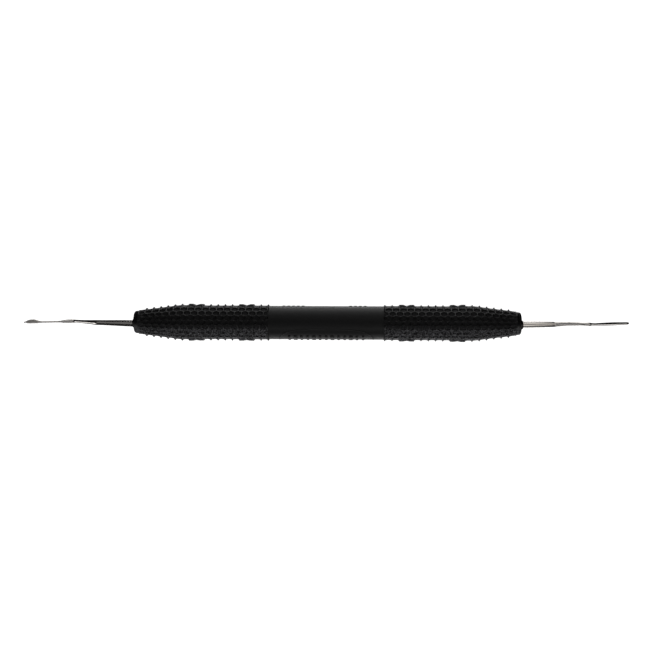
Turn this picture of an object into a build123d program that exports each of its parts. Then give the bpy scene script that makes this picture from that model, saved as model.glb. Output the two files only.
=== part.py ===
"""Double-ended fine hand tool: a moulded rubber grip on a rigid core, with a bent steel tip at each end.

Units are millimetres. The tool lies along X, with the leaf tip towards -X and the blunt point towards +X.
The origin is the middle of the grip, on the grip's axis. Both tips are bent in planes close to XZ.
"""

from build123d import *
import os

# ---- Grip: outer shape ---------------------------------------------------------------------------
grip_length = 108.6  # between the rims of the two end faces
grip_radius = 5.2  # outside of both textured stretches
band_length = 32.2  # smooth middle band between the textured stretches
band_radius = 4.70
taper_length = 14.0  # narrowing stretch at each end of the grip
taper_bulge = 0.2  # how far the taper's middle stands outside a straight cone
collar_length = 3.4  # smooth collar next to each end face
collar_radius = 3.75  # where the collar meets the textured stretch
rim_radius = 3.2  # where the collar meets the rounded rim
rim_rounding = 0.65
end_dome = 0.3  # how far the end face stands out at its middle

# ---- Core inside the rubber ----------------------------------------------------------------------
core_radius = 2.5
core_wall = 0.4
end_wall = 1.2  # rubber over each socket's flange
flange_thickness = 1.0
socket_depth = 11.0  # length of a socket inside the tube

# ---- Tips: both --------------------------------------------------------------------------------
tang_offset = 0.34  # the tangs sit this far to -Y of the grip's axis
tang_relief = 0.05  # step in radius from a shank down to its tang
bend_radius = 3.0

# ---- Leaf tip, on -X: distances along X from the rim of the end face ----------------------------------
leaf_reach = 30.9
leaf_first_bend = 11.2
leaf_second_bend = 18.4
leaf_dip = 2.3  # the second bend lies this far under the axis
leaf_rise = 2.0  # the point lies this far over the axis
leaf_shank_radius = 1.05
leaf_waist_radius = 0.74  # at the first bend
leaf_arm_radius = 0.44  # just before the second bend
leaf_knuckle_radius = 0.56  # at the second bend
leaf_neck_radius = 0.25
leaf_half_width = 0.62
leaf_half_thickness = 0.19
leaf_point_radius = 0.12

# ---- Blunt point, on +X --------------------------------------------------------------------------
point_reach = 30.5
point_first_bend = 9.8
point_second_bend = 18.6
point_rise = 2.6
point_dip = 1.8
point_shank_radius = 1.0
point_waist_radius = 0.75
point_arm_radius = 0.45
point_knuckle_radius = 0.52
point_half_width = 0.5
point_half_thickness = 0.4
point_end_radius = 0.2

# ---- Sizes that follow ---------------------------------------------------------------------------
half_grip = grip_length / 2
half_band = band_length / 2
flange_face = half_grip - end_wall
core_half_length = flange_face - flange_thickness
core_bore = core_radius - core_wall
socket_bottom = core_half_length - socket_depth

# Where each tip's centre line turns and ends: distance along X from the rim, then Y and Z.
leaf_corners = [
    (leaf_first_bend, -0.12, 0),
    (leaf_second_bend, 0.16, -leaf_dip),
    (leaf_reach, -0.30, leaf_rise),
]
point_corners = [
    (point_first_bend, -0.18, 0),
    (point_second_bend, -0.12, point_rise),
    (point_reach, 0.24, -point_dip),
]


def between(first, second, share):
    """Value a given share of the way from first to second."""
    return first + (second - first) * share


# Cross-sections of a tip: leg (0 to the first bend, 1 to the second, 2 to the end), share of that leg,
# half width across Y and half thickness.
leaf_sections = [
    (0, 0.00, leaf_shank_radius, leaf_shank_radius),
    (0, 0.32, *[between(leaf_shank_radius, leaf_waist_radius, 0.35)] * 2),
    (0, 0.80, *[between(leaf_shank_radius, leaf_waist_radius, 0.85)] * 2),
    (1, 0.02, leaf_waist_radius, leaf_waist_radius),
    (1, 0.25, *[between(leaf_waist_radius, leaf_arm_radius, 0.50)] * 2),
    (1, 0.50, *[between(leaf_waist_radius, leaf_arm_radius, 0.75)] * 2),
    (1, 0.75, leaf_arm_radius, leaf_arm_radius),
    (1, 0.95, leaf_knuckle_radius, leaf_knuckle_radius),
    (2, 0.10, leaf_arm_radius, leaf_arm_radius),
    (2, 0.18, leaf_neck_radius, leaf_neck_radius),
    (2, 0.60, leaf_neck_radius, leaf_neck_radius),
    (2, 0.68, leaf_half_width * 0.80, leaf_half_thickness),
    (2, 0.80, leaf_half_width, leaf_half_thickness),
    (2, 0.90, leaf_half_width * 0.70, leaf_half_thickness * 0.8),
    (2, 1.00, leaf_point_radius, leaf_point_radius),
]
point_sections = [
    (0, 0.00, point_shank_radius, point_shank_radius),
    (0, 0.50, *[between(point_shank_radius, point_waist_radius, 0.60)] * 2),
    (1, 0.02, point_waist_radius, point_waist_radius),
    (1, 0.33, *[between(point_waist_radius, point_arm_radius, 0.45)] * 2),
    (1, 0.75, point_arm_radius, point_arm_radius),
    (1, 0.97, point_knuckle_radius, point_knuckle_radius),
    (2, 0.14, point_arm_radius, point_arm_radius),
    (2, 0.55, point_half_width, point_half_thickness),
    (2, 0.78, point_half_width * 0.85, point_half_thickness * 0.90),
    (2, 0.95, point_half_width * 0.80, point_half_thickness * 0.80),
    (2, 1.00, point_end_radius, point_end_radius),
]


def rod(radius, start, end, y=0.0):
    """Round bar along X between two X positions."""
    base = Plane(origin=(min(start, end), y, 0), z_dir=(1, 0, 0))
    return base * Cylinder(radius, abs(end - start), align=(Align.CENTER, Align.CENTER, Align.MIN))


def half_envelope(side):
    """Outside of one half of the grip, from the middle of the band to the end face, as a solid."""
    def inside_rim(distance, radius):
        return (side * (half_grip - distance), radius)

    taper_run = taper_length - collar_length
    taper_drop = collar_radius - grip_radius
    taper_middle = inside_rim(collar_length + taper_run / 2, grip_radius + taper_drop / 2 + taper_bulge)
    band = Line((0, band_radius), (side * half_band, band_radius))
    step = Line(band @ 1, (side * half_band, grip_radius))
    straight = Line(step @ 1, inside_rim(taper_length, grip_radius))
    taper = Spline(
        straight @ 1, taper_middle, inside_rim(collar_length, collar_radius),
        tangents=[(side, 0), (side * taper_run, taper_drop)],
    )
    collar = Line(taper @ 1, inside_rim(rim_rounding, rim_radius))
    rim = ThreePointArc(
        collar @ 1,
        inside_rim(rim_rounding * 0.3, rim_radius - rim_rounding * 0.3),
        inside_rim(0, rim_radius - rim_rounding),
    )
    dome = ThreePointArc(
        rim @ 1,
        inside_rim(-end_dome * 0.75, (rim_radius - rim_rounding) / 2),
        inside_rim(-end_dome, 0),
    )
    axis = Line(dome @ 1, (0, 0))
    closing = Line((0, 0), (0, band_radius))
    outline = make_face([band, step, straight, taper, collar, rim, dome, axis, closing])
    return revolve(outline, Axis.X)


def grip_sleeve():
    """One moulding: the envelope, less the space of the core and the two shank holes."""
    sleeve = half_envelope(1) + half_envelope(-1)
    sleeve -= rod(core_radius, -flange_face, flange_face)
    for side, shank_radius in ((-1, leaf_shank_radius), (1, point_shank_radius)):
        sleeve -= rod(shank_radius, side * flange_face, side * (half_grip + 2 * end_dome), -tang_offset)
    return sleeve


def core_tube():
    """Rigid tube that the rubber is moulded over."""
    return rod(core_radius, -core_half_length, core_half_length) - rod(
        core_bore, -core_half_length, core_half_length
    )


def socket(side, shank_radius):
    """Turned plug in the tube's end, with a flange on the tube's face and a bore for the tang."""
    plug = rod(core_bore, side * socket_bottom, side * core_half_length)
    flange = rod(core_radius, side * core_half_length, side * flange_face)
    bore = rod(shank_radius - tang_relief, side * socket_bottom, side * flange_face, -tang_offset)
    return plug + flange - bore


def tip(side, shank_radius, corners, sections):
    """Steel tip: a straight tang in the socket, then a tapering shank along a path with two bends."""
    points = [Vector(side * half_grip, -tang_offset, 0)]
    points += [Vector(side * (half_grip + x), y, z) for x, y, z in corners]
    path = FilletPolyline(*points, radius=bend_radius)
    legs = [(b - a).length for a, b in zip(points, points[1:])]
    rings = []
    for leg, share, half_width, half_thickness in sections:
        place = (sum(legs[:leg]) + legs[leg] * share) / sum(legs)
        # The first section is square to the tang, so that the two meet face to face.
        heading = path % place if place > 0 else Vector(side, 0, 0)
        across = Vector(0, 1, 0) - heading * heading.Y
        section = Plane(origin=path @ place, x_dir=across, z_dir=heading)
        rings.append(section * Ellipse(half_width, half_thickness))
    working_end = loft(rings, ruled=True)
    neck = rod(shank_radius, side * flange_face, side * half_grip, -tang_offset)
    tang = rod(shank_radius - tang_relief, side * socket_bottom, side * flange_face, -tang_offset)
    return working_end + neck + tang


nodes = {
    "grip_sleeve": grip_sleeve(),
    "core_tube": core_tube(),
    "left_socket": socket(-1, leaf_shank_radius),
    "right_socket": socket(1, point_shank_radius),
    "left_tip": tip(-1, leaf_shank_radius, leaf_corners, leaf_sections),
    "right_tip": tip(1, point_shank_radius, point_corners, point_sections),
}
os.makedirs("parts", exist_ok=True)
for name, shape in nodes.items():
    export_step(shape, f"parts/{name}.step")
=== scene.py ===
"""Looks of a double-ended fine hand tool: honeycomb rubber grip, raised marks and polished steel tips.

Laid out as an add-on and run as a script. Lengths are metres unless a name ends in _mm or _deg.
Angles round the grip are measured from +Z towards +Y.
"""

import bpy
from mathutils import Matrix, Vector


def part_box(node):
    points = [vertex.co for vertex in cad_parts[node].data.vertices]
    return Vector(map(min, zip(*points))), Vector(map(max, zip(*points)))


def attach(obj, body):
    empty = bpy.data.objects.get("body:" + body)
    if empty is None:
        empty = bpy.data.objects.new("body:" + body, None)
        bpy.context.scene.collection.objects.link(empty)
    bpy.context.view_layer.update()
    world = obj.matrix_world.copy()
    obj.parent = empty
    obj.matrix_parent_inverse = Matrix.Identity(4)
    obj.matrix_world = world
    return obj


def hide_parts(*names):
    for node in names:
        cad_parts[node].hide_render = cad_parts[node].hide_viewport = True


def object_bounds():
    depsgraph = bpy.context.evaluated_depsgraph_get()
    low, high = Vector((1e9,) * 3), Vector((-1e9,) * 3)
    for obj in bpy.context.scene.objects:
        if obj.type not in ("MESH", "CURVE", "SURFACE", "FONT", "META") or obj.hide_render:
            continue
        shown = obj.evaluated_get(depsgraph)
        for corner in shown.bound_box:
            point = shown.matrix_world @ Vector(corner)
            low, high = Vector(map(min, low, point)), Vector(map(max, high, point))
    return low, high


bl_info = {
    "name": "Double-ended hand tool",
    "version": (1, 0, 0),
    "blender": (4, 5, 0),
    "location": "View3D > Sidebar > Hand Tool",
    "description": "Builds the moulded grip, its marks, the steel tips and the stage",
    "category": "Object",
}

import math

import bmesh
import bpy
from mathutils import Matrix, Vector

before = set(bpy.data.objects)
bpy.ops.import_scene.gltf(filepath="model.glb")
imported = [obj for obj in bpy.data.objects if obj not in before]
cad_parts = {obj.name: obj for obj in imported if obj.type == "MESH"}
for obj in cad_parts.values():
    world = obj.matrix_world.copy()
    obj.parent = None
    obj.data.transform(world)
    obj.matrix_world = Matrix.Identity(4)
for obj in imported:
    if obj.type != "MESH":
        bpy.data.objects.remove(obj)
CAD_LOW, CAD_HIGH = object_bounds()

MM = 0.001
END_DOME_MM = 0.3  # how far the grip's box runs past the rim of its end face
# Distances from the grip's middle: the rim of its end face, and the ends of the two tips.
RIM_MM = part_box("grip_sleeve")[1].x / MM - END_DOME_MM
LEAF_END_MM = -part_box("left_tip")[0].x / MM
POINT_END_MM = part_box("right_tip")[1].x / MM
TANG_OFFSET_MM = 0.34  # the tips leave the grip this far to -Y of its axis


# ---- Sizes and colours that a user may change ----------------------------------------------------

class GripSettings(bpy.types.PropertyGroup):
    """Sizes and finish of the moulded rubber grip."""

    band_length: bpy.props.FloatProperty(
        name="Band length", description="Length of the smooth middle band",
        default=0.0322, unit="LENGTH", subtype="DISTANCE")
    band_radius: bpy.props.FloatProperty(
        name="Band radius", description="Radius of the smooth middle band",
        default=0.00470, unit="LENGTH", subtype="DISTANCE")
    column_pitch: bpy.props.FloatProperty(
        name="Column pitch", description="Distance between two columns of the net, along the grip",
        default=0.00203, unit="LENGTH", subtype="DISTANCE")
    first_column: bpy.props.FloatProperty(
        name="First column", description="Distance of the net's first column from the grip's middle",
        default=0.0164, unit="LENGTH", subtype="DISTANCE")
    columns: bpy.props.IntProperty(
        name="Columns", description="Cells in one row of the net, from the band to the end face",
        default=18)
    net_height: bpy.props.FloatProperty(
        name="Net height", description="Height of the raised net over the floor of its cells",
        default=0.00038, unit="LENGTH", subtype="DISTANCE")
    colour: bpy.props.FloatVectorProperty(
        name="Rubber colour", description="Colour of the moulded rubber", subtype="COLOR", size=4,
        default=(0.0028, 0.0028, 0.0031, 1.0))
    cell_colour: bpy.props.FloatVectorProperty(
        name="Cell colour", description="Colour of the floors of the net's cells", subtype="COLOR",
        size=4, default=(0.0150, 0.0150, 0.0160, 1.0))
    # Painted highlight: pale colour laid on the net's crests at the grip's sides.
    crest_highlight_colour: bpy.props.FloatVectorProperty(
        name="Crest colour", description="Colour of the net's worn crests", subtype="COLOR", size=4,
        default=(0.120, 0.120, 0.124, 1.0))
    # Painted glints: pale specks of the grain on the grip's -Y side.
    glint_colour: bpy.props.FloatVectorProperty(
        name="Speck colour", description="Colour of the pale glints on the grip's -Y side",
        subtype="COLOR", size=4, default=(0.100, 0.100, 0.107, 1.0))


class MarkSettings(bpy.types.PropertyGroup):
    """Plain raised marks on the smooth band."""

    oval_length: bpy.props.FloatProperty(
        name="Oval length", description="Length of the plain raised oval along the band",
        default=0.0262, unit="LENGTH", subtype="DISTANCE")
    oval_spread: bpy.props.FloatProperty(
        name="Oval spread", description="Angle that the oval covers round the band",
        default=math.radians(134), unit="ROTATION", subtype="ANGLE")
    line_width: bpy.props.FloatProperty(
        name="Line width", description="Width of the raised oval line",
        default=0.00030, unit="LENGTH", subtype="DISTANCE")
    mark_height: bpy.props.FloatProperty(
        name="Mark height", description="Height of the raised bars over the band",
        default=0.00022, unit="LENGTH", subtype="DISTANCE")


class TipSettings(bpy.types.PropertyGroup):
    """Sizes and finish of the two steel tips."""

    leaf_shank_radius: bpy.props.FloatProperty(
        name="Leaf shank radius", description="Radius of the leaf tip's shank at the grip",
        default=0.00098, unit="LENGTH", subtype="DISTANCE")
    point_shank_radius: bpy.props.FloatProperty(
        name="Point shank radius", description="Radius of the blunt point's shank at the grip",
        default=0.0010, unit="LENGTH", subtype="DISTANCE")
    bend_radius: bpy.props.FloatProperty(
        name="Bend radius", description="Radius of the bends in both shanks",
        default=0.0030, unit="LENGTH", subtype="DISTANCE")
    steel: bpy.props.FloatVectorProperty(
        name="Steel colour", description="Reflected colour of the polished steel", subtype="COLOR",
        size=4, default=(0.62, 0.595, 0.57, 1.0))


class StageSettings(bpy.types.PropertyGroup):
    """Camera and floor."""

    camera_distance: bpy.props.FloatProperty(
        name="Camera distance", description="Distance of the camera from the grip's axis",
        default=0.281, unit="LENGTH", subtype="DISTANCE")
    lens: bpy.props.FloatProperty(
        name="Lens", description="Focal length on a 36 mm sensor", default=55.7, unit="CAMERA")
    floor_colour: bpy.props.FloatVectorProperty(
        name="Floor colour", description="Colour of the pale floor", subtype="COLOR", size=4,
        default=(0.85, 0.85, 0.85, 1.0))


def settings(name):
    """The scene's own copy of a settings group."""
    return getattr(bpy.context.scene, name)


# ---- Mesh helpers --------------------------------------------------------------------------------

def smoothstep(low, high, value):
    """0 below low, 1 above high and a smooth rise between."""
    share = min(1.0, max(0.0, (value - low) / (high - low)))
    return share * share * (3 - 2 * share)


def curve_through(points, at):
    """Smooth curve through a few (position, value) points, without overshoot, read at one position."""
    if at <= points[0][0]:
        return points[0][1]
    if at >= points[-1][0]:
        return points[-1][1]
    slopes = [(b[1] - a[1]) / (b[0] - a[0]) for a, b in zip(points, points[1:])]
    # A slope of zero at each peak and dip keeps the curve from running past its points.
    tangents = [slopes[0]]
    for before, after in zip(slopes, slopes[1:]):
        tangents.append(0.0 if before * after <= 0 else 2 * before * after / (before + after))
    tangents.append(slopes[-1])
    for index, (a, b) in enumerate(zip(points, points[1:])):
        if at <= b[0]:
            span = b[0] - a[0]
            t = (at - a[0]) / span
            return (
                (2 * t ** 3 - 3 * t ** 2 + 1) * a[1]
                + (t ** 3 - 2 * t ** 2 + t) * span * tangents[index]
                + (3 * t ** 2 - 2 * t ** 3) * b[1]
                + (t ** 3 - t ** 2) * span * tangents[index + 1]
            )
    return points[-1][1]


def mesh_object(name, bm):
    """Object from a finished bmesh, smooth shaded, in the scene's collection."""
    bmesh.ops.recalc_face_normals(bm, faces=bm.faces)
    mesh = bpy.data.meshes.new(name)
    bm.to_mesh(mesh)
    bm.free()
    for polygon in mesh.polygons:
        polygon.use_smooth = True
    piece = bpy.data.objects.new(name, mesh)
    bpy.context.scene.collection.objects.link(piece)
    return piece


def turned_ring(bm, count, place_at):
    """Closed ring of new points, each placed by its angle in radians."""
    return [bm.verts.new(place_at(2 * math.pi * i / count)) for i in range(count)]


def join_rings(bm, first, second, slot=0):
    """Band of quads between two closed rings of the same number of points, in one material slot."""
    count = len(first)
    for i in range(count):
        quad = bm.faces.new((first[i], first[(i + 1) % count], second[(i + 1) % count], second[i]))
        quad.material_index = slot


# ---- The moulded grip ----------------------------------------------------------------------------

STEP_DEG = 2.5  # spacing of points round the grip
RING_STEPS = round(360 / STEP_DEG)
HALF_WALL_DEG = 5.0  # half the height of a cell's side wall, round the grip
RISE_DEG = 5.0  # the zigzag between two rows climbs this far over half a pitch
DIAGONAL_SHARES = (1 / 3, 2 / 3)  # points along that climb
ROW_DEG = 15.0
PARTING_LINE_DEG = 90.0  # the mould's parting lines run along the grip at plus and minus this angle
PARTING_HALF_DEG = 40.0  # ribs run straight this far on each side of a parting line
INNER_MARGIN_MM = 0.30  # the net's first column stands this far from the band's edge
OUTER_MARGIN_MM = 0.16  # and its last column this far from the plain collar
LAST_COLUMN_SINK = 0.75  # share of the net's height lost at its last column
CELL_WIDTH_SHARE = 0.985  # a round cell floor's width, as a share of the pitch
CELL_HEIGHT_SHARE = 0.87  # and its height, as a share of the row's
TALL_CELL_ROUNDNESS = 0.35  # cells on the parting lines are only this much rounded

# Finger pads on the parting lines.
PAD_COLUMNS = (3, 10)
PAD_REACH_DEG = 13.0  # half angle that a pad covers one column from its centre
PAD_SPREAD_DEG = 10.0  # and how much more it covers at its centre
PAD_EDGE_DEG = 2.0
PAD_DIP_TOP = 0.12  # height at the centre of a pad on the +Y line, as a share of the net's
PAD_DIP_BOTTOM = 0.55  # and on the -Y line

# Floor of the cells: distance from the rim of the end face, radius.
FLOOR_MM = [
    (0.6, 3.14), (1.5, 3.36), (3.5, 3.66), (6.6, 4.03), (10.8, 4.58),
    (13.0, 4.84), (15.0, 4.88), (21.0, 4.79), (38.2, 4.81),
]

# Across a wall of the net, from its crest to the middle of the cell:
# share of the way, height, and how round the cell's outline has become.
WALL_PROFILE = [
    (0.00, 1.00, 0.00),
    (0.05, 0.90, 0.20),
    (0.11, 0.56, 0.38),
    (0.19, 0.20, 0.56),
    (0.30, 0.03, 0.74),
    (0.55, -0.03, 0.90),
    (1.00, -0.08, 1.00),
]
FLOOR_SHARE = 0.15  # from this share of the way on, a cell has the floor's finish
FLOOR_SLOT = 1  # material slot of that finish


class Net:
    """Builds one textured stretch of the grip, cell by cell, into a bmesh."""

    def __init__(self, bm, side):
        grip = settings("tool_grip")
        self.bm = bm
        self.side = side
        self.first = grip.first_column / MM
        self.pitch = grip.column_pitch / MM
        self.columns = grip.columns
        self.height = grip.net_height / MM
        self.inner = -INNER_MARGIN_MM / self.pitch
        self.outer = self.columns + OUTER_MARGIN_MM / self.pitch
        self.shared = {}
        self.crest = bm.verts.layers.float.get("crest")

    def fade(self, column):
        """Share of the net's full height at a column: it sinks towards the plain collar."""
        return 1.0 - LAST_COLUMN_SINK * smoothstep(self.columns - 1, self.columns, column)

    def pad(self, column, angle, height):
        """Height once the finger pads on the parting lines are laid over the net."""
        for centre in PAD_COLUMNS:
            away = abs(column - centre)
            if away > 1.0:
                continue
            from_line = abs(abs(angle) - PARTING_LINE_DEG)
            reach = PAD_REACH_DEG + PAD_SPREAD_DEG * (1.0 - away)
            lowest = PAD_DIP_TOP if angle > 0 else PAD_DIP_BOTTOM
            top = lowest + (1.0 - lowest) * min(1.0, 2.0 * away)
            edge = smoothstep(reach - PAD_EDGE_DEG, reach + PAD_EDGE_DEG, from_line)
            return height + (top - height) * (1.0 - edge)
        return height

    def point(self, column, angle, height):
        """Place on the grip, for a column, an angle in degrees and a height in net heights."""
        x = self.first + self.pitch * column
        height = self.pad(column, angle, height) * self.fade(column)
        radius = curve_through(FLOOR_MM, RIM_MM - x) + height * self.height
        turn = math.radians(angle)
        return Vector((self.side * x, radius * math.sin(turn), radius * math.cos(turn))) * MM

    def vertex(self, column, angle, height):
        """Point on the crest of the net or on its border, shared by the cells that meet there."""
        wrapped = (angle + 180.0) % 360.0 - 180.0
        key = (round(column * 1000), round(wrapped * 100) % 36000)
        if key not in self.shared:
            made = self.bm.verts.new(self.point(column, wrapped, height))
            made[self.crest] = height
            self.shared[key] = made
        return self.shared[key]

    def cell(self, centre, angle, half_wall, left=-0.5, right=0.5):
        """One cell of the net: rings of points from the shared crest down to the floor."""
        tall = half_wall > HALF_WALL_DEG
        outline = cell_outline(half_wall, left, right)
        middle = (max(left, -0.5) + min(right, 0.5)) / 2
        spine = half_wall - 2 * RISE_DEG if tall else 0.0
        rounding = TALL_CELL_ROUNDNESS if tall else 1.0
        arc = math.radians(1.0) * curve_through(FLOOR_MM, RIM_MM - self.first - self.pitch * centre)
        wide = CELL_WIDTH_SHARE * (right - left) / 2 * self.pitch
        high = CELL_HEIGHT_SHARE * (HALF_WALL_DEG + RISE_DEG) * arc
        last = None
        for share, height, roundness in WALL_PROFILE:
            ring = []
            for column, turn, crest in outline:
                if share == 0.0:
                    ring.append(self.vertex(centre + column, angle + turn, crest))
                    continue
                foot = min(spine, max(-spine, turn))
                across, up = (column - middle) * self.pitch, (turn - foot) * arc
                direction = math.atan2(up, across)
                round_across, round_up = wide * math.cos(direction), high * math.sin(direction)
                across += (round_across - across) * roundness * rounding
                up += (round_up - up) * roundness * rounding
                here = centre + middle + across * (1 - share) / self.pitch
                there = angle + foot + up * (1 - share) / arc
                level = height if height < 0 else height * crest
                ring.append((here, there, level))
            if share == 0.0:
                last = ring
            elif share == 1.0:
                self.close(last, ring)
            else:
                made = [self.bm.verts.new(self.point(*place)) for place in ring]
                for vert, place in zip(made, ring):
                    vert[self.crest] = max(0.0, place[2])
                join_rings(self.bm, last, made, FLOOR_SLOT if share > FLOOR_SHARE else 0)
                last = made

    def close(self, last, ring):
        """Closes a cell's floor onto its middle, a point or a short line."""
        ends = {}
        made = []
        for here, there, level in ring:
            key = round(there * 1000)
            if key not in ends:
                ends[key] = self.bm.verts.new(self.point(here, there, level))
            made.append(ends[key])
        count = len(last)
        for i in range(count):
            corner = (last[i], last[(i + 1) % count], made[(i + 1) % count], made[i])
            distinct = list(dict.fromkeys(corner))
            self.bm.faces.new(distinct).material_index = FLOOR_SLOT

    def margin(self, crest, border, angle, half_wall):
        """Flank between a border column of walls and the edge of the net."""
        steps = round(2 * half_wall / STEP_DEG)
        for i in range(steps):
            low = angle - half_wall + i * STEP_DEG
            high = low + STEP_DEG
            corners = [(crest, low, 1.0), (crest, high, 1.0), (border, high, 0.0), (border, low, 0.0)]
            self.bm.faces.new([self.vertex(*corner) for corner in corners])

    def border(self, column):
        """The closed ring of points along one edge of the net."""
        return [self.vertex(column, -180 + i * STEP_DEG, 0.0) for i in range(RING_STEPS)]

    def build(self):
        """All rows of cells, and the margins at both edges."""
        for angle, half_wall, walls_on_columns in net_rows():
            if walls_on_columns:
                for index in range(self.columns):
                    self.cell(index + 0.5, angle, half_wall)
                self.margin(0, self.inner, angle, half_wall)
                self.margin(self.columns, self.outer, angle, half_wall)
            else:
                self.cell(0, angle, half_wall, left=self.inner)
                for index in range(1, self.columns):
                    self.cell(index, angle, half_wall)
                self.cell(self.columns, angle, half_wall, right=self.outer - self.columns)
        return self.border(self.inner), self.border(self.outer)


def net_rows():
    """Rows of cells round the grip: angle, half wall, and whether their walls stand on the columns."""
    rows = []
    for index in range(round(360 / ROW_DEG)):
        angle = -180.0 + index * ROW_DEG
        from_line = abs(abs(angle) - PARTING_LINE_DEG)
        if from_line < 1.0:
            rows.append((angle, PARTING_HALF_DEG, True))
        elif from_line > PARTING_HALF_DEG:
            rows.append((angle, HALF_WALL_DEG, index % 2 == 1))
    return rows


def cell_outline(half_wall, left, right):
    """Points round a cell: column offset, angle offset, crest height. A cut side is a plain border."""
    points = []
    steps = round(2 * half_wall / STEP_DEG)
    # A tall cell has short rows on both sides, whose peaks point into it.
    rise = RISE_DEG if half_wall == HALF_WALL_DEG else -RISE_DEG
    apex = half_wall + rise
    cut_steps = round(2 * apex / STEP_DEG)

    def wall(column, sign):
        if abs(column) < 0.5:
            for i in range(cut_steps + 1):
                points.append((column, sign * (i * STEP_DEG - apex), 0.0))
        else:
            for i in range(steps + 1):
                points.append((column, sign * (i * STEP_DEG - half_wall), 1.0))

    def climb(column, sign):
        if abs(column) == 0.5:
            for share in DIAGONAL_SHARES:
                points.append((column * (1 - share), sign * (half_wall + rise * share), 1.0))

    def descend(column, sign):
        if abs(column) == 0.5:
            for share in DIAGONAL_SHARES:
                points.append((column * share, sign * (apex - rise * share), 1.0))

    wall(right, 1)
    climb(right, 1)
    points.append((0.0, apex, 1.0))
    descend(left, 1)
    wall(left, -1)
    climb(left, -1)
    points.append((0.0, -apex, 1.0))
    descend(right, -1)
    return points


def ring_at(bm, x_mm, radius_mm, y_mm=0.0):
    """Closed ring of points round the X axis, in step with the net's border."""
    ring = []
    for i in range(RING_STEPS):
        turn = math.radians(-180 + i * STEP_DEG)
        place = Vector((x_mm, y_mm + radius_mm * math.sin(turn), radius_mm * math.cos(turn)))
        ring.append(bm.verts.new(place * MM))
    return ring


# End of the grip: distance inside the rim, radius, and share of the way from the grip's axis to the
# shank's.
END_OUTLINE_MM = [
    (1.10, 3.20, 0.0), (0.60, 3.17, 0.0), (0.32, 3.12, 0.0), (0.16, 3.03, 0.0), (0.06, 2.88, 0.0),
    (0.01, 2.65, 0.0), (-0.06, 2.25, 0.1), (-0.13, 1.85, 0.4), (-0.23, 1.50, 0.8), (-0.40, 1.24, 1.0),
    (-0.58, 1.13, 1.0), (-0.64, 1.04, 1.0), (-0.62, 0.60, 1.0),
]

# Edge of the smooth band: distance inside its end, height over its radius.
BAND_STEP_MM = [(0.00, 0.05), (0.03, 0.015), (0.10, 0.0), (0.60, 0.0)]
BAND_STRETCHES = 12  # rings between the two edges


def end_face(bm, side, border):
    """Plain collar, rounded rim, domed face and the small fillet round the shank."""
    last = border
    for inside, radius, shift in END_OUTLINE_MM:
        ring = ring_at(bm, side * (RIM_MM - inside), radius, -TANG_OFFSET_MM * shift)
        join_rings(bm, last, ring)
        last = ring
    bm.faces.new(last)


def middle_band(bm, left_border, right_border):
    """Smooth band between the two textured stretches."""
    grip = settings("tool_grip")
    half = grip.band_length / MM / 2
    radius = grip.band_radius / MM
    reach = half - BAND_STEP_MM[-1][0]
    places = [(-half + inside, radius + rise) for inside, rise in BAND_STEP_MM]
    places += [(-reach + 2 * reach * i / BAND_STRETCHES, radius) for i in range(1, BAND_STRETCHES)]
    places += [(half - inside, radius + rise) for inside, rise in reversed(BAND_STEP_MM)]
    last = left_border
    for place in places:
        ring = ring_at(bm, *place)
        join_rings(bm, last, ring)
        last = ring
    join_rings(bm, last, right_border)


def build_grip():
    """The whole moulding as one closed mesh."""
    bm = bmesh.new()
    bm.verts.layers.float.new("crest")
    borders = {}
    for side in (-1, 1):
        inner, outer = Net(bm, side).build()
        end_face(bm, side, outer)
        borders[side] = inner
    middle_band(bm, borders[-1], borders[1])
    return mesh_object("rubber_grip", bm)


# ---- Materials -----------------------------------------------------------------------------------

# The band and the net's ridges, then the floors of its cells.
RUBBER_FINISHES = (
    {"name": "moulded_black_rubber", "specular": 0.30, "net_roughness": 0.34},
    {"name": "matt_cell_rubber", "specular": 0.10, "net_roughness": 0.42},
)
BAND_ROUGHNESS = 0.45
NET_START = 0.0004  # the net's finish sets in over this length past the band
FRONT_LINE_Y = 0.00035  # the net's dark front and back, kept free of the painted crest highlight, are centred on this Y
HIGHLIT_SPAN = (0.0014, 0.0021)  # distances from that line between which the painted crest highlight sets in
GRAIN_AND_GLINT_SPAN = (-0.0012, -0.0020)  # Y between which the -Y side's stronger grain and painted glints set in
CREST_SPAN = (0.66, 0.99)  # shares of the net's height between which a crest takes the painted highlight
GLINT_SPAN = (0.46, 0.56)  # levels of the grain between which a speck takes the painted glint
MOTTLE_SPAN = (0.35, 0.70)  # levels of the grain from the darkest to the lightest rubber
MOTTLE_SHADES = (0.75, 1.3)  # and how dark and light that is
GRAIN_NOISE = {"Scale": 2600.0, "Detail": 2.0, "Roughness": 0.6}
GRAIN_DEPTH = 0.00005
FINE_NOISE = {"Scale": 9000.0, "Detail": 2.0}
FINE_DEPTH = 0.00001
FINE_STRENGTH = 0.25
GRAIN_STRENGTHS = (0.05, 0.15)  # on the band, and on the net
GRAINY_STRENGTH = 0.4  # added on the -Y side with its stronger grain
LINE_SPAN = (0.3, 0.7)  # levels of the metal's lines from the glossiest to the roughest
LINE_DEPTH = 0.00002

# Polishing lines along the shanks, and turning rings round the core: how far the noise is squeezed on
# each axis, its kind, the glossiest and the roughest level, and the strength of the bump.
STEEL_LINES = {
    "stretch": (90.0, 5200.0, 5200.0), "noise": {"Detail": 3.0, "Roughness": 0.6},
    "roughness": (0.07, 0.17), "strength": 0.12,
}
CORE_LINES = {"stretch": (9000.0, 60.0, 60.0), "noise": {"Detail": 2.0}, "strength": 0.2}

# Metals of the hidden core: colour, glossiest and roughest level, and the nodes they are on.
CORE_FINISHES = {
    "drawn_core_tube": ((0.78, 0.79, 0.80, 1.0), (0.256, 0.40), ("core_tube",)),
    "turned_socket_steel": ((0.58, 0.57, 0.56, 1.0), (0.208, 0.325), ("left_socket", "right_socket")),
}


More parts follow.
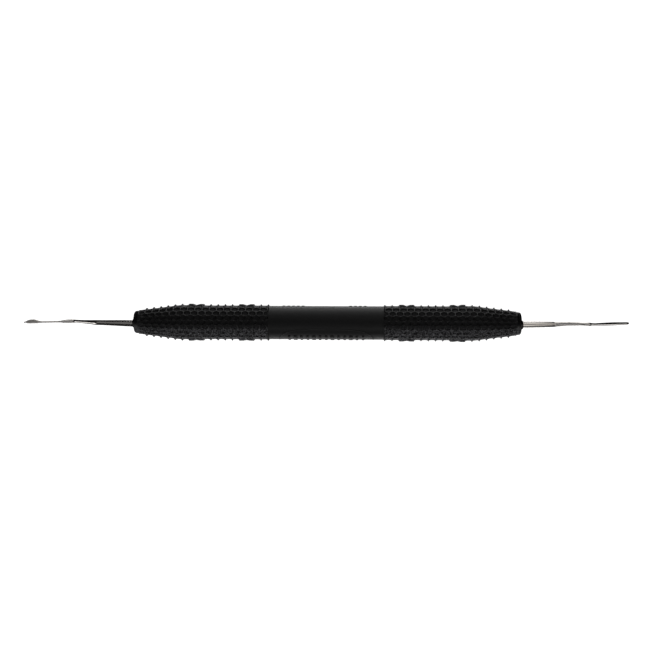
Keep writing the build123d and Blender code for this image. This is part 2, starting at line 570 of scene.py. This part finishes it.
def new_material(name):
    """New node material, its node tree and its Principled shader."""
    material = bpy.data.materials.new(name)
    material.use_nodes = True
    tree = material.node_tree
    return material, tree, tree.nodes["Principled BSDF"]


def node(tree, kind, **inputs):
    """New node with some inputs linked or set; an underscore in an input's name stands for a space."""
    made = tree.nodes.new(kind)
    for name, value in inputs.items():
        feed(tree, made.inputs[name.replace("_", " ")], value)
    return made


def feed(tree, socket, value):
    """Link an output to a socket, or set the socket to a plain value."""
    if isinstance(value, bpy.types.NodeSocket):
        tree.links.new(value, socket)
    else:
        socket.default_value = value


def calculated(tree, operation, *values):
    """Output of a math node on outputs or plain numbers."""
    made = tree.nodes.new("ShaderNodeMath")
    made.operation = operation
    for socket, value in zip(made.inputs, values):
        feed(tree, socket, value)
    return made.outputs["Value"]


def ramp(tree, value, low, high, to_low=0.0, to_high=1.0):
    """Output that goes from one level to another while the value goes from low to high."""
    made = node(tree, "ShaderNodeMapRange", Value=value, From_Min=low, From_Max=high, To_Min=to_low,
                To_Max=to_high)
    return made.outputs["Result"]


def blend(tree, share, first, second):
    """Colour between two others."""
    made = tree.nodes.new("ShaderNodeMix")
    made.data_type = "RGBA"
    feed(tree, made.inputs["Factor"], share)
    first_socket, second_socket = [i for i in made.inputs if i.type == "RGBA"]
    feed(tree, first_socket, first)
    feed(tree, second_socket, second)
    return next(o for o in made.outputs if o.type == "RGBA")


def scaled_colour(colour, factor):
    """Lighter or darker colour, opaque."""
    return tuple(c * factor for c in colour[:3]) + (1.0,)


def rubber_material(name, colour, specular, net_roughness):
    """Moulded black rubber: plain satin band, net with painted highlights on its crests at the sides,
    and a -Y side with stronger grain and painted glints.
    """
    grip = settings("tool_grip")
    material, tree, shader = new_material(name)
    place = tree.nodes.new("ShaderNodeTexCoord").outputs["Object"]
    x, y, _ = node(tree, "ShaderNodeSeparateXYZ", Vector=place).outputs
    grain = node(tree, "ShaderNodeTexNoise", Vector=place, **GRAIN_NOISE).outputs["Fac"]
    fine = node(tree, "ShaderNodeTexNoise", Vector=place, **FINE_NOISE).outputs["Fac"]
    crest = tree.nodes.new("ShaderNodeAttribute")
    crest.attribute_name = "crest"
    crest = crest.outputs["Fac"]

    half_band = grip.band_length / 2
    netted = ramp(tree, calculated(tree, "ABSOLUTE", x), half_band, half_band + NET_START)
    # The -Y side: a stronger grain bump, and pale painted glints on the grain.
    grain_and_glint = calculated(tree, "MULTIPLY", netted, ramp(tree, y, *GRAIN_AND_GLINT_SPAN))
    # Painted highlight on the crests at the sides, kept off the front line and off the -Y side's painted
    # glints.
    from_front = calculated(tree, "ABSOLUTE", calculated(tree, "SUBTRACT", y, FRONT_LINE_Y))
    highlit = calculated(tree, "MULTIPLY", netted, ramp(tree, from_front, *HIGHLIT_SPAN))
    highlit = calculated(tree, "MULTIPLY", highlit, calculated(tree, "SUBTRACT", 1.0, grain_and_glint))
    painted_crest_highlight = calculated(tree, "MULTIPLY", highlit, ramp(tree, crest, *CREST_SPAN))
    # Painted glints: pale specks where the grain is high, on the -Y side only.
    painted_glint = calculated(tree, "MULTIPLY", grain_and_glint, ramp(tree, grain, *GLINT_SPAN))

    dark, light = [scaled_colour(colour, shade) for shade in MOTTLE_SHADES]
    base = blend(tree, ramp(tree, grain, *MOTTLE_SPAN), dark, light)
    base = blend(tree, painted_crest_highlight, base, tuple(grip.crest_highlight_colour))
    base = blend(tree, painted_glint, base, tuple(grip.glint_colour))
    roughness = ramp(tree, netted, 0.0, 1.0, BAND_ROUGHNESS, net_roughness)
    depth = calculated(tree, "ADD", ramp(tree, netted, 0.0, 1.0, *GRAIN_STRENGTHS),
                       calculated(tree, "MULTIPLY", grain_and_glint, GRAINY_STRENGTH))
    bump = node(tree, "ShaderNodeBump", Height=grain, Strength=depth, Distance=GRAIN_DEPTH)
    micro = node(tree, "ShaderNodeBump", Height=fine, Strength=FINE_STRENGTH, Distance=FINE_DEPTH,
                 Normal=bump.outputs["Normal"])
    feed(tree, shader.inputs["Base Color"], base)
    feed(tree, shader.inputs["Roughness"], roughness)
    feed(tree, shader.inputs["Normal"], micro.outputs["Normal"])
    shader.inputs["Specular IOR Level"].default_value = specular
    return material


def lined_metal_material(name, colour, stretch, noise, roughness, strength):
    """Metal with fine lines: noise squeezed across them drives its roughness and its bump."""
    material, tree, shader = new_material(name)
    place = tree.nodes.new("ShaderNodeTexCoord").outputs["Object"]
    squeezed = node(tree, "ShaderNodeMapping", Vector=place, Scale=stretch).outputs["Vector"]
    lines = node(tree, "ShaderNodeTexNoise", Vector=squeezed, Scale=1.0, **noise).outputs["Fac"]
    bump = node(tree, "ShaderNodeBump", Height=lines, Strength=strength, Distance=LINE_DEPTH)
    feed(tree, shader.inputs["Roughness"], ramp(tree, lines, *LINE_SPAN, *roughness))
    feed(tree, shader.inputs["Normal"], bump.outputs["Normal"])
    shader.inputs["Base Color"].default_value = colour
    shader.inputs["Metallic"].default_value = 1.0
    return material


# ---- Tips ----------------------------------------------------------------------------------------

RING_POINTS = 28
STATIONS_PER_MM = 4
BEND_STEPS = 8
CAP_LENGTH_SHARE = 0.6  # a tip's cap is this share of its last half width long

TANG_START_MM = 1.0  # both tips start this far inside the rim
# The two bends of each tip, as distance past the rim, Y and Z.
LEAF_BENDS_MM = ((11.2, -0.12, 0.0), (18.4, 0.08, -2.3))
POINT_BENDS_MM = ((9.8, -0.18, 0.0), (18.4, -0.12, 3.3))
# The end of each tip's last leg, as distance past the end of the frame's tip, Y and Z.
LEAF_LAST_MM = (0.25, -0.24, 2.0)
POINT_LAST_MM = (-0.2, 0.24, -1.8)

# Sections past the shank: leg and share of it, half width across the tool, half thickness.
LEAF_SECTIONS_MM = (
    (0.35, 0.88, 0.88), (0.80, 0.74, 0.74), (1.00, 0.70, 0.70), (1.25, 0.59, 0.59),
    (1.50, 0.50, 0.50), (1.86, 0.42, 0.42), (2.03, 0.55, 0.50), (2.17, 0.46, 0.42),
    (2.26, 0.29, 0.27), (2.34, 0.25, 0.23), (2.61, 0.24, 0.21), (2.67, 0.28, 0.20),
    (2.74, 0.50, 0.19), (2.81, 0.60, 0.18), (2.88, 0.56, 0.16), (2.935, 0.42, 0.14),
    (2.965, 0.20, 0.11), (3.00, 0.18, 0.10),
)
POINT_SECTIONS_MM = (
    (0.45, 0.91, 0.91), (0.90, 0.78, 0.78), (1.02, 0.72, 0.72), (1.33, 0.61, 0.61),
    (1.55, 0.56, 0.56), (1.75, 0.46, 0.46), (1.97, 0.49, 0.47), (2.12, 0.36, 0.38),
    (2.30, 0.42, 0.38), (2.60, 0.46, 0.36), (2.78, 0.40, 0.34), (2.93, 0.37, 0.31),
    (2.98, 0.31, 0.25), (3.00, 0.20, 0.17),
)

# Leg and share of it, how far the section sits to +Y of the straight leg.
LEAF_LEANS_MM = (
    (0.0, -0.08), (0.9, -0.08), (1.4, 0.0), (2.03, 0.10), (2.3, 0.0), (2.65, 0.0), (2.81, 0.22),
    (3.0, 0.0),
)
POINT_LEANS_MM = ((0.0, 0.08), (0.9, 0.06), (1.4, 0.20), (1.9, 0.06), (2.1, -0.04), (3.0, 0.0))


def bent_path(corners_mm, bend_mm):
    """Points and headings along straight legs joined by arcs, with each point's leg and share of it."""
    corners = [Vector(c) for c in corners_mm]
    legs = list(zip(corners, corners[1:]))
    path = []
    for index, (a, b) in enumerate(legs):
        heading = (b - a).normalized()
        length = (b - a).length
        trim_start = trim_at(corners, index, bend_mm)
        trim_end = trim_at(corners, index + 1, bend_mm)
        steps = max(2, round((length - trim_start - trim_end) * STATIONS_PER_MM))
        for i in range(steps + 1):
            along = trim_start + (length - trim_start - trim_end) * i / steps
            path.append((a + heading * along, heading, index + along / length))
        if index + 1 < len(legs):
            after = (legs[index + 1][1] - b).normalized()
            for i in range(1, BEND_STEPS):
                t = i / BEND_STEPS
                p0, p2 = b - heading * trim_end, b + after * trim_end
                place = p0 * (1 - t) ** 2 + b * 2 * t * (1 - t) + p2 * t ** 2
                way = ((b - p0) * (1 - t) + (p2 - b) * t).normalized()
                next_length = (legs[index + 1][1] - b).length
                before_corner = index + 1 - trim_end / length
                past_corner = index + 1 + trim_end / next_length
                path.append((place, way, before_corner + (past_corner - before_corner) * t))
    return path


def trim_at(corners, index, bend_mm):
    """How much of a leg the arc at a corner takes up; none at the two ends."""
    if index == 0 or index == len(corners) - 1:
        return 0.0
    before = corners[index] - corners[index - 1]
    after = corners[index + 1] - corners[index]
    return bend_mm * math.tan(before.angle(after) / 2)


def build_tip(name, corners_mm, sections_mm, leans_mm):
    """Steel tip as one closed mesh: elliptical sections along a path with two bends."""
    bm = bmesh.new()
    widths = [(leg, wide) for leg, wide, thick in sections_mm]
    depths = [(leg, thick) for leg, wide, thick in sections_mm]
    bend = settings("tool_tips").bend_radius / MM
    last = None
    for straight, heading, leg in bent_path(corners_mm, bend):
        wide, thick = curve_through(widths, leg), curve_through(depths, leg)
        across = (Vector((0, 1, 0)) - heading * heading.y).normalized()
        up = heading.cross(across)
        place = straight + across * curve_through(leans_mm, leg)
        ring = turned_ring(bm, RING_POINTS, lambda turn: (
            place + across * wide * math.cos(turn) + up * thick * math.sin(turn)) * MM)
        if last is None:
            bm.faces.new(ring)
        else:
            join_rings(bm, last, ring)
        last = ring
    end = bm.verts.new((place + heading * wide * CAP_LENGTH_SHARE) * MM)
    for i in range(RING_POINTS):
        bm.faces.new((last[i], last[(i + 1) % RING_POINTS], end))
    return mesh_object(name, bm)


def tip_corners(side, bends_mm, reach_mm, last_mm):
    """Corner points of a tip's path on one side of the grip, from inside the rim to its end."""
    past_end, end_y, end_z = last_mm
    corners = [(RIM_MM - TANG_START_MM, -TANG_OFFSET_MM, 0.0)]
    corners += [(RIM_MM + past_rim, y, z) for past_rim, y, z in bends_mm]
    corners.append((reach_mm + past_end, end_y, end_z))
    return [(side * x, y, z) for x, y, z in corners]


def leaf_tip():
    """Leaf tip on -X: down to the second bend, then up along a thin neck to a small pointed leaf."""
    shank = settings("tool_tips").leaf_shank_radius / MM
    corners = tip_corners(-1, LEAF_BENDS_MM, LEAF_END_MM, LEAF_LAST_MM)
    return build_tip("leaf_tip", corners, [(0.0, shank, shank), *LEAF_SECTIONS_MM], LEAF_LEANS_MM)


def point_tip():
    """Blunt point on +X: up to the second bend, then down along a slender round-ended point."""
    shank = settings("tool_tips").point_shank_radius / MM
    corners = tip_corners(1, POINT_BENDS_MM, POINT_END_MM, POINT_LAST_MM)
    return build_tip("blunt_point", corners, [(0.0, shank, shank), *POINT_SECTIONS_MM], POINT_LEANS_MM)


# ---- Raised marks on the band --------------------------------------------------------------------

OVAL_FLATNESS = 0.55  # 1 is an ellipse, smaller is nearer to a rectangle
OVAL_SECTIONS = 220
OVAL_SECTION_POINTS = 8
OVAL_HEIGHT_MM = 0.10
OVAL_CENTRE_DEG = -90
OVAL_TURN = 0.01  # a point's neighbour, in radians, that gives the oval's direction there
BAR_POINTS = 24
BAR_CORNER_SHARE = 0.95  # corner radius, as a share of the bar's shorter half side
BAR_FOOT_MM = 0.10  # a bar starts this far under the band
BAR_PROFILE = ((1.0, 0.55), (0.86, 0.88), (0.60, 1.0))  # share of the outline, share of the height

# Row of bars inside the oval.
OVAL_BARS = 13
OVAL_BAR_PITCH_MM = 1.72
OVAL_BAR_DEG = -70
OVAL_BAR_HALF_MM = (0.36, 1.70)  # half length along the band, half width round it
LONG_BAR_EXTRA_MM = 0.20  # every third bar is this much longer at each end

# Short rows of low bars on the +Y side: where each starts, and how many bars it has.
EDGE_ROWS = ((-12.0, 5), (6.8, 4))
EDGE_BAR_PITCH_MM = 1.35
EDGE_BAR_DEG = 88
EDGE_BAR_HALF_MM = (0.42, 0.55)
EDGE_BAR_HEIGHT_SHARE = 0.6


def on_band(x_mm, turn_rad, rise_mm):
    """Place on the smooth band, raised by some height."""
    radius = settings("tool_grip").band_radius / MM + rise_mm
    return Vector((x_mm, radius * math.sin(turn_rad), radius * math.cos(turn_rad))) * MM


def oval_point(t, half_length_mm, half_height_mm):
    """Point of an oval with nearly straight long sides, on the unrolled band."""
    def flatten(value):
        return math.copysign(abs(value) ** OVAL_FLATNESS, value)
    return Vector((half_length_mm * flatten(math.cos(t)), half_height_mm * flatten(math.sin(t))))


def raised_oval(bm, centre_rad):
    """Plain oval line: a low rounded bead on the band."""
    marks = settings("tool_marks")
    radius = settings("tool_grip").band_radius / MM
    half_length = marks.oval_length / MM / 2
    half_height = marks.oval_spread / 2 * radius
    half_width = marks.line_width / MM / 2
    rings = []
    for i in range(OVAL_SECTIONS):
        t = 2 * math.pi * i / OVAL_SECTIONS
        middle = oval_point(t, half_length, half_height)
        along = oval_point(t + OVAL_TURN, half_length, half_height) - middle
        out = Vector((along.y, -along.x)).normalized()

        def bead(turn):
            spot = middle + out * half_width * math.cos(turn)
            return on_band(spot.x, centre_rad + spot.y / radius, OVAL_HEIGHT_MM * math.sin(turn))

        rings.append(turned_ring(bm, OVAL_SECTION_POINTS, bead))
    for ring, after in zip(rings, rings[1:] + rings[:1]):
        join_rings(bm, ring, after)


def raised_bar(bm, x_mm, centre_rad, half_length_mm, half_width_mm, rise_mm):
    """Plain bar with rounded ends and edges, lying along the band."""
    radius = settings("tool_grip").band_radius / MM
    corner = min(half_length_mm, half_width_mm) * BAR_CORNER_SHARE
    levels = [(1.0, -BAR_FOOT_MM)] + [(share, rise_mm * height) for share, height in BAR_PROFILE]
    last = None
    for share, rise in levels:

        def outline(turn):
            x = math.copysign(half_length_mm - corner, math.cos(turn)) + corner * math.cos(turn)
            y = math.copysign(half_width_mm - corner, math.sin(turn)) + corner * math.sin(turn)
            return on_band(x_mm + x * share, centre_rad + y * share / radius, rise)

        ring = turned_ring(bm, BAR_POINTS, outline)
        if last is None:
            bm.faces.new(ring)
        else:
            join_rings(bm, last, ring)
        last = ring
    bm.faces.new(last)


def build_marks():
    """Plain oval and bars on the -Y side of the band, and two short rows of bars on the +Y side."""
    rise = settings("tool_marks").mark_height / MM
    bm = bmesh.new()
    raised_oval(bm, math.radians(OVAL_CENTRE_DEG))
    half_length, half_width = OVAL_BAR_HALF_MM
    turn = math.radians(OVAL_BAR_DEG)
    for i in range(OVAL_BARS):
        x = (i - (OVAL_BARS - 1) / 2) * OVAL_BAR_PITCH_MM
        longer = LONG_BAR_EXTRA_MM if i % 3 == 1 else 0.0
        raised_bar(bm, x, turn, half_length + longer, half_width, rise)
    half_length, half_width = EDGE_BAR_HALF_MM
    turn = math.radians(EDGE_BAR_DEG)
    for start, number in EDGE_ROWS:
        for i in range(number):
            x = start + i * EDGE_BAR_PITCH_MM
            raised_bar(bm, x, turn, half_length, half_width, rise * EDGE_BAR_HEIGHT_SHARE)
    return mesh_object("band_marks", bm)


# ---- Operators -----------------------------------------------------------------------------------

class TOOL_OT_grip(bpy.types.Operator):
    """Build the moulded rubber grip with its honeycomb net"""

    bl_idname = "tool.grip"
    bl_label = "Rubber grip"

    def execute(self, context):
        piece = build_grip()
        grip = settings("tool_grip")
        for finish, colour in zip(RUBBER_FINISHES, (grip.colour, grip.cell_colour)):
            piece.data.materials.append(rubber_material(colour=colour, **finish))
        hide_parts("grip_sleeve")
        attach(piece, "root")
        return {"FINISHED"}


class TOOL_OT_marks(bpy.types.Operator):
    """Build the plain raised marks on the smooth band"""

    bl_idname = "tool.marks"
    bl_label = "Band marks"

    def execute(self, context):
        piece = build_marks()
        piece.data.materials.append(bpy.data.materials[RUBBER_FINISHES[0]["name"]])
        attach(piece, "root")
        return {"FINISHED"}


class TOOL_OT_tips(bpy.types.Operator):
    """Build the leaf tip and the blunt point"""

    bl_idname = "tool.tips"
    bl_label = "Steel tips"

    def execute(self, context):
        steel = lined_metal_material("polished_tip_steel", settings("tool_tips").steel, **STEEL_LINES)
        for piece, replaced in ((leaf_tip(), "left_tip"), (point_tip(), "right_tip")):
            piece.data.materials.append(steel)
            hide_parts(replaced)
            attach(piece, "root")
        return {"FINISHED"}


class TOOL_OT_core(bpy.types.Operator):
    """Give the core tube and the sockets inside the grip their metals"""

    bl_idname = "tool.core"
    bl_label = "Core metals"

    def execute(self, context):
        for name, (colour, roughness, nodes) in CORE_FINISHES.items():
            metal = lined_metal_material(name, colour, roughness=roughness, **CORE_LINES)
            for piece in nodes:
                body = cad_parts[piece]
                body.data.materials.clear()
                body.data.materials.append(metal)
        return {"FINISHED"}


# ---- Stage ---------------------------------------------------------------------------------------

# Long softboxes in line with the tool: angle from straight above towards +Y, and power in watts.
STRIPS = (
    (10, 0.020), (25, 0.030), (40, 0.070), (55, 0.025), (70, 0.185), (100, 0.39), (120, 0.165),
    (140, 0.36), (-10, 0.048), (-40, 0.130), (-55, 0.034), (-100, 0.200), (-120, 0.082), (-140, 0.331),
)
STRIP_DISTANCE = 0.5
STRIP_SIZE = (0.34, 0.13)
LONG_STRIPS = (10, 25, -10)  # strips that reach past both ends of the tool
LONG_SIZE = (0.52, 0.13)
# Square softboxes low beside the tool's ends: angle from -Y towards +X, and power in watts.
CORNERS = ((-52, 0.42), (52, 0.42))
CORNER_RISE_DEG = 20
CORNER_SIZE = 0.26
# Warm cards over the blunt point's end: angle from straight above towards +Y.
CARDS = (27, -27)
CARD_SIZE = (0.09, 0.27)
CARD_POWER = 0.055
CARD_SHIFT = 0.165
CARD_COLOUR = (1.0, 0.95, 0.89)
WORLD_COLOUR = (0.016, 0.015, 0.015, 1.0)
# A round floor whose edge curves up into a wall.
FLOOR_RADIUS = 1.2
FLOOR_MIDDLE_RADIUS = 0.4
COVE_RADIUS = 0.5
COVE_STEPS = 10
WALL_HEIGHT = 2.5
FLOOR_POINTS = 96
FLOOR_ROUGHNESS = 0.9
# Camera: what it looks at, how far it stands towards +X, and how far it leans.
CAMERA_TARGET = (-0.00112, 0.00008, 0.0)
CAMERA_YAW_DEG = 2.15
CAMERA_ROLL_DEG = -0.26
SENSOR_WIDTH = 36.0
CLIP_START = 0.01


def softbox(name, place, size, power, colour=(1.0, 1.0, 1.0)):
    """Rectangular softbox, not yet turned and unseen by the camera."""
    data = bpy.data.lights.new(name, "AREA")
    data.shape = "RECTANGLE"
    data.size, data.size_y = size
    data.energy = power
    data.color = colour
    lamp = bpy.data.objects.new(name, data)
    lamp.location = place
    lamp.visible_camera = False
    bpy.context.scene.collection.objects.link(lamp)
    return lamp


def light_strip(turn_deg, power):
    """One long softbox in line with the tool."""
    turn = math.radians(turn_deg)
    place = (0.0, STRIP_DISTANCE * math.sin(turn), STRIP_DISTANCE * math.cos(turn))
    size = LONG_SIZE if turn_deg in LONG_STRIPS else STRIP_SIZE
    lamp = softbox("strip", place, size, power * size[0] / STRIP_SIZE[0])
    lamp.rotation_euler = (-turn, 0.0, 0.0)


def corner_light(turn_deg, power):
    """One square softbox, low beside an end of the tool."""
    turn, rise = math.radians(turn_deg), math.radians(CORNER_RISE_DEG)
    level = math.cos(rise)
    toward = Vector((math.sin(turn) * level, -math.cos(turn) * level, math.sin(rise)))
    lamp = softbox("corner", toward * STRIP_DISTANCE, (CORNER_SIZE, CORNER_SIZE), power)
    lamp.rotation_euler = (-toward).to_track_quat("-Z", "Y").to_euler()


def warm_card(turn_deg):
    """One warm card across the tool, over the blunt point's end."""
    turn = math.radians(turn_deg)
    place = (CARD_SHIFT, STRIP_DISTANCE * math.sin(turn), STRIP_DISTANCE * math.cos(turn))
    lamp = softbox("card", place, CARD_SIZE, CARD_POWER, CARD_COLOUR)
    lamp.rotation_euler = (-turn, 0.0, 0.0)


def turned_sheet(name, outline, filled=False):
    """Sheet turned round the vertical axis from radii and heights over the floor, open in the middle
    unless it is filled."""
    bm = bmesh.new()
    last = None
    for radius, height in outline:
        level = CAD_LOW.z + height
        ring = turned_ring(bm, FLOOR_POINTS, lambda turn: (
            radius * math.cos(turn), radius * math.sin(turn), level))
        if last is not None:
            join_rings(bm, last, ring)
        elif filled:
            bm.faces.new(ring)
        last = ring
    return mesh_object(name, bm)


def pale_material(name, colour):
    """Evenly lit pale sheet."""
    material, tree, shader = new_material(name)
    shader.inputs["Base Color"].default_value = colour
    shader.inputs["Roughness"].default_value = FLOOR_ROUGHNESS
    shader.inputs["Emission Color"].default_value = (1.0, 1.0, 1.0, 1.0)
    shader.inputs["Emission Strength"].default_value = 1.0
    return material


def build_floor(colour):
    """Flat floor under the tool, and a wall all round that curves up out of it."""
    cove = [(FLOOR_RADIUS, 0.0)]
    for i in range(1, COVE_STEPS + 1):
        turn = math.radians(90 * i / COVE_STEPS)
        cove.append((FLOOR_RADIUS + COVE_RADIUS * math.sin(turn), COVE_RADIUS * (1 - math.cos(turn))))
    cove.append((FLOOR_RADIUS + COVE_RADIUS, WALL_HEIGHT))
    floor = turned_sheet("floor", [(FLOOR_MIDDLE_RADIUS, 0.0), (FLOOR_RADIUS, 0.0)], filled=True)
    wall = turned_sheet("backdrop", cove)
    floor.data.materials.append(pale_material("pale_floor", colour))
    wall.data.materials.append(pale_material("pale_backdrop", colour))
    # The wall only fills the view: it lights nothing.
    wall.data.materials[0].cycles.emission_sampling = "NONE"
    wall.visible_diffuse = False
    for sheet in (floor, wall):
        sheet.visible_glossy = False
        sheet.visible_shadow = False


def build_camera():
    """Camera over the grip, a little to +X of its middle."""
    stage = settings("tool_stage")
    camera = bpy.data.objects.new("camera", bpy.data.cameras.new("camera"))
    bpy.context.scene.collection.objects.link(camera)
    camera.data.lens = stage.lens
    camera.data.sensor_width = SENSOR_WIDTH
    camera.data.clip_start = CLIP_START
    yaw, roll = math.radians(CAMERA_YAW_DEG), math.radians(CAMERA_ROLL_DEG)
    away = Vector((math.sin(yaw), 0.0, math.cos(yaw)))
    right = Vector((math.sin(roll), math.cos(roll), 0.0)).cross(away).normalized()
    upright = away.cross(right)
    place = Vector(CAMERA_TARGET) + away * stage.camera_distance
    camera.matrix_world = Matrix((
        (right.x, upright.x, away.x, place.x),
        (right.y, upright.y, away.y, place.y),
        (right.z, upright.z, away.z, place.z),
        (0.0, 0.0, 0.0, 1.0),
    ))
    return camera


class TOOL_OT_stage(bpy.types.Operator):
    """Set up the camera, the pale floor and the soft lights"""

    bl_idname = "tool.stage"
    bl_label = "Stage"

    def execute(self, context):
        scene = context.scene
        scene.view_settings.view_transform = "Standard"
        scene.camera = build_camera()
        build_floor(settings("tool_stage").floor_colour)
        world = bpy.data.worlds.new("studio")
        world.use_nodes = True
        world.node_tree.nodes["Background"].inputs["Color"].default_value = WORLD_COLOUR
        scene.world = world
        for turn_deg, power in STRIPS:
            light_strip(turn_deg, power)
        for turn_deg, power in CORNERS:
            corner_light(turn_deg, power)
        for turn_deg in CARDS:
            warm_card(turn_deg)
        return {"FINISHED"}


class TOOL_PT_parts(bpy.types.Panel):
    """Lists the pieces of the tool and the stage"""

    bl_idname = "TOOL_PT_parts"
    bl_label = "Double-ended hand tool"
    bl_space_type = "VIEW_3D"
    bl_region_type = "UI"
    bl_category = "Hand Tool"

    def draw(self, context):
        for operator in STEPS:
            self.layout.operator(operator.bl_idname)
        for name in ("tool_grip", "tool_marks", "tool_tips", "tool_stage"):
            group = getattr(context.scene, name)
            box = self.layout.box()
            for field in group.__annotations__:
                box.prop(group, field)


STEPS = (TOOL_OT_grip, TOOL_OT_marks, TOOL_OT_tips, TOOL_OT_core, TOOL_OT_stage)
GROUPS = {
    "tool_grip": GripSettings,
    "tool_marks": MarkSettings,
    "tool_tips": TipSettings,
    "tool_stage": StageSettings,
}


def register():
    """Register the settings, the operators and the panel."""
    for name, group in GROUPS.items():
        bpy.utils.register_class(group)
        setattr(bpy.types.Scene, name, bpy.props.PointerProperty(type=group))
    for operator in STEPS:
        bpy.utils.register_class(operator)
    bpy.utils.register_class(TOOL_PT_parts)


def unregister():
    """Undo register."""
    bpy.utils.unregister_class(TOOL_PT_parts)
    for operator in reversed(STEPS):
        bpy.utils.unregister_class(operator)
    for name, group in reversed(GROUPS.items()):
        delattr(bpy.types.Scene, name)
        bpy.utils.unregister_class(group)


def main():
    """Build every piece in order."""
    register()
    bpy.ops.tool.grip()
    bpy.ops.tool.marks()
    bpy.ops.tool.tips()
    bpy.ops.tool.core()
    bpy.ops.tool.stage()


if __name__ == "__main__":
    main()
